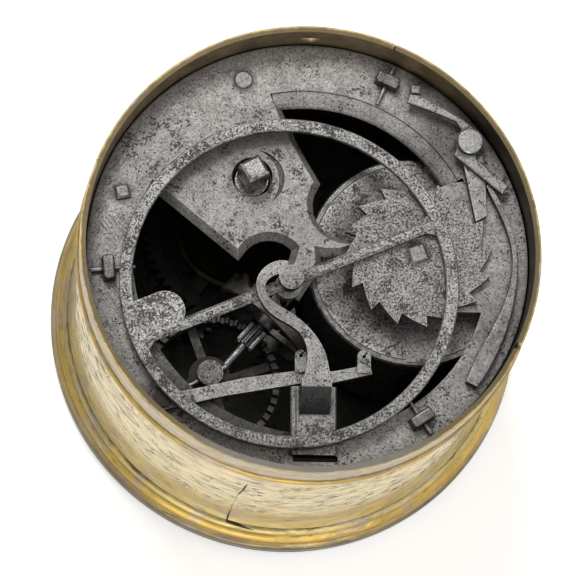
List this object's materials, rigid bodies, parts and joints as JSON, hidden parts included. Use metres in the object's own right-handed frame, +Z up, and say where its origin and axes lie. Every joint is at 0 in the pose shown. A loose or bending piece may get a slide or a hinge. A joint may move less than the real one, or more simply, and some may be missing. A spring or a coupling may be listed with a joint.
{
  "type": "drum clock",
  "caption": "Round gilt brass drum clock, open at the back, with an iron movement: balance ring and cock, fusee, spring barrel, ratchet and click, and a single hour hand under the foot.",
  "frame": {"origin": "middle of the foot's resting plane, on the case axis", "axes": "+Z up out of the open back along the case axis, +X to the right in the back view (towards the spring barrel), +Y towards the winding square and the peep hole in the rim"},
  "size_m": [0.1, 0.1, 0.062],
  "materials": {
    "gilt": "worn satin gilding",
    "brass": "dull",
    "silvered": "silvered, dull",
    "iron": "pitted, brushed",
    "steel": "worn bright",
    "blued": "blued"
  },
  "bodies": {
    "case": {"case_body": "gilt", "case_pins": "steel", "dial_plate": "brass", "chapter_ring": "silvered", "touch_pins": "steel", "front_plate": "iron", "pillars": "iron", "pillar_pins": "steel", "back_plate": "iron", "plate_rivets": "steel", "cock_base": "iron", "cock_rivets": "steel", "balance_cock": "iron", "click_stud": "steel", "stop_stub": "steel", "click_spring": "steel", "crown_potence": "iron", "crown_stud": "steel", "cross_pin": "steel", "verge_potence": "iron", "intermediate_cock": "iron", "bristle_pivot": "steel"},
    "balance": {"balance_wheel": "iron", "verge_staff": "steel"},
    "crown": {"crown_wheel": "iron", "crown_arbor": "steel"},
    "contrate": {"contrate_wheel": "iron", "contrate_arbor": "steel"},
    "intermediate": {"intermediate_wheel": "iron", "intermediate_arbor": "steel"},
    "fusee": {"fusee_cone": "iron", "great_wheel": "iron", "fusee_arbor": "steel", "motion_pinion": "steel"},
    "hour": {"hour_wheel": "iron", "hour_arbor": "steel", "hour_hand": "blued"},
    "barrel": {"barrel_drum": "iron", "barrel_cover": "iron", "mainspring": "steel"},
    "spring_arbor": {"barrel_arbor": "steel", "ratchet_wheel": "iron"},
    "click_group": {"click": "iron", "click_lever": "iron"},
    "bristle": {"bristle_arm": "iron"}
  },
  "joints": [
    {"name": "balance_swing", "type": "hinge", "parent": "case", "child": "balance", "pos_m": [-0.004, -0.0065, 0.058], "axis": [0, 0, 1], "range_deg": [-50, 50]},
    {"name": "contrate_turn", "type": "hinge", "parent": "case", "child": "contrate", "pos_m": [-0.01764, -0.02247, 0.038], "axis": [0, 0, 1], "continuous": true},
    {"name": "crown_turn", "type": "hinge", "parent": "case", "child": "crown", "pos_m": [-0.01907, -0.02414, 0.0415], "axis": [0.6494, 0.7604, 0], "continuous": true},
    {"name": "intermediate_turn", "type": "hinge", "parent": "case", "child": "intermediate", "pos_m": [-0.01969, -0.00523, 0.016], "axis": [0, 0, 1], "continuous": true},
    {"name": "fusee_turn", "type": "hinge", "parent": "case", "child": "fusee", "pos_m": [-0.0112, 0.0155, 0.03], "axis": [0, 0, 1], "continuous": true},
    {"name": "hour_turn", "type": "hinge", "parent": "case", "child": "hour", "pos_m": [0, 0, 0.006], "axis": [0, 0, 1], "continuous": true},
    {"name": "barrel_turn", "type": "hinge", "parent": "case", "child": "barrel", "pos_m": [0.0214, 0.0003, 0.035], "axis": [0, 0, 1], "continuous": true},
    {"name": "ratchet_turn", "type": "hinge", "parent": "case", "child": "spring_arbor", "pos_m": [0.0214, 0.0003, 0.056], "axis": [0, 0, 1], "range_deg": [-17, 0]},
    {"name": "click_turn", "type": "hinge", "parent": "case", "child": "click_group", "pos_m": [0.0319, 0.0233, 0.056], "axis": [0, 0, 1], "range_deg": [0, 6.1], "deforming": ["click_spring"]},
    {"name": "bristle_turn", "type": "hinge", "parent": "case", "child": "bristle", "pos_m": [-0.0284, -0.03, 0.056], "axis": [0, 0, 1], "range_deg": [0, 8]}
  ],
  "couplings": [
    {"joint": "crown_turn", "follows": "contrate_turn", "ratio": 7.5},
    {"joint": "intermediate_turn", "follows": "contrate_turn", "ratio": -0.16667},
    {"joint": "fusee_turn", "follows": "contrate_turn", "ratio": 0.02381},
    {"joint": "hour_turn", "follows": "contrate_turn", "ratio": -0.005291},
    {"joint": "barrel_turn", "follows": "contrate_turn", "ratio": 0.01119},
    {"joint": "click_turn", "follows": "ratchet_turn", "ratio": -0.35}
  ]
}
